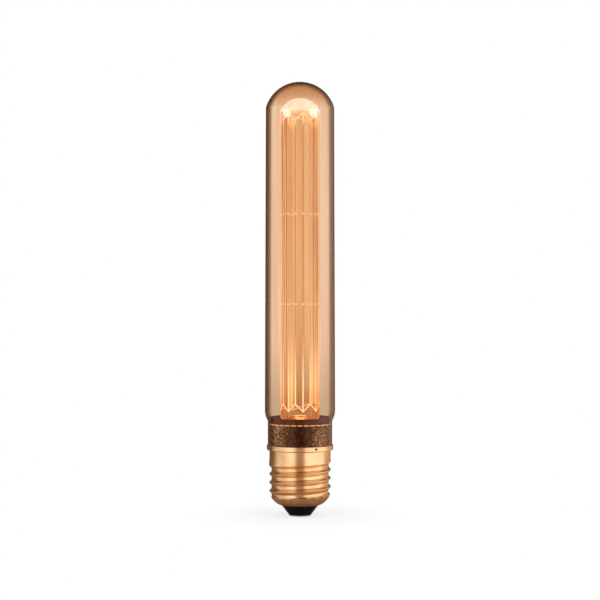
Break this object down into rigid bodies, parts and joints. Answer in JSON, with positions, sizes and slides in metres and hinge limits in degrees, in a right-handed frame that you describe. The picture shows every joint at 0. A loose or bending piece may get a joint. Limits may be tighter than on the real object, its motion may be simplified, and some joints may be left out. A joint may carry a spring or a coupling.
{
  "type": "led light bulb",
  "caption": "Straight tubular light bulb of amber glass with a domed end, an engraved acrylic light guide inside and a gold-coloured screw cap.",
  "frame": {"origin": "centre of the flat underside of the centre contact, on the bulb's axis", "axes": "+Z along the axis from the screw cap to the dome, -Y towards the front of the picture's view, +X to its right"},
  "size_m": [0.03, 0.03, 0.185],
  "materials": {
    "centre_contact": "tinned, satin",
    "cap_insulator": "glossy black",
    "cap_shell": "warm gold lacquer over sheet brass",
    "neck_cement": "matt",
    "glass_envelope": "clear amber",
    "heat_sink": "bronze, crinkled",
    "thermal_pad": "matt grey",
    "led_board": "white solder mask",
    "led_package": "matt white",
    "led_phosphor": "yellow silicone",
    "guide_holder": "dark brown",
    "light_guide": "clear acrylic, engraved, frosted dome",
    "driver_housing": "dark grey",
    "driver_board": "green laminate",
    "bridge_rectifier": "black moulding",
    "driver_chip": "black moulding",
    "chip_resistors": "dark",
    "input_capacitor": "dark sleeve",
    "output_capacitor": "dark sleeve",
    "film_capacitor": "red box",
    "inductor_core": "ferrite",
    "inductor_winding": "enamelled copper",
    "fusible_resistor": "green lacquer",
    "live_wire": "black insulation",
    "neutral_wire": "tinned wire",
    "led_wire_positive": "red insulation",
    "led_wire_negative": "black insulation"
  },
  "bodies": {
    "root": {"centre_contact": "centre_contact", "cap_insulator": "cap_insulator", "cap_shell": "cap_shell", "neck_cement": "neck_cement", "glass_envelope": "glass_envelope", "heat_sink": "heat_sink", "thermal_pad": "thermal_pad", "led_board": "led_board", "led_package": "led_package", "led_phosphor": "led_phosphor", "guide_holder": "guide_holder", "light_guide": "light_guide", "driver_housing": "driver_housing", "driver_board": "driver_board", "bridge_rectifier": "bridge_rectifier", "driver_chip": "driver_chip", "chip_resistors": "chip_resistors", "input_capacitor": "input_capacitor", "output_capacitor": "output_capacitor", "film_capacitor": "film_capacitor", "inductor_core": "inductor_core", "inductor_winding": "inductor_winding", "fusible_resistor": "fusible_resistor", "live_wire": "live_wire", "neutral_wire": "neutral_wire", "led_wire_positive": "led_wire_positive", "led_wire_negative": "led_wire_negative"}
  },
  "joints": []
}
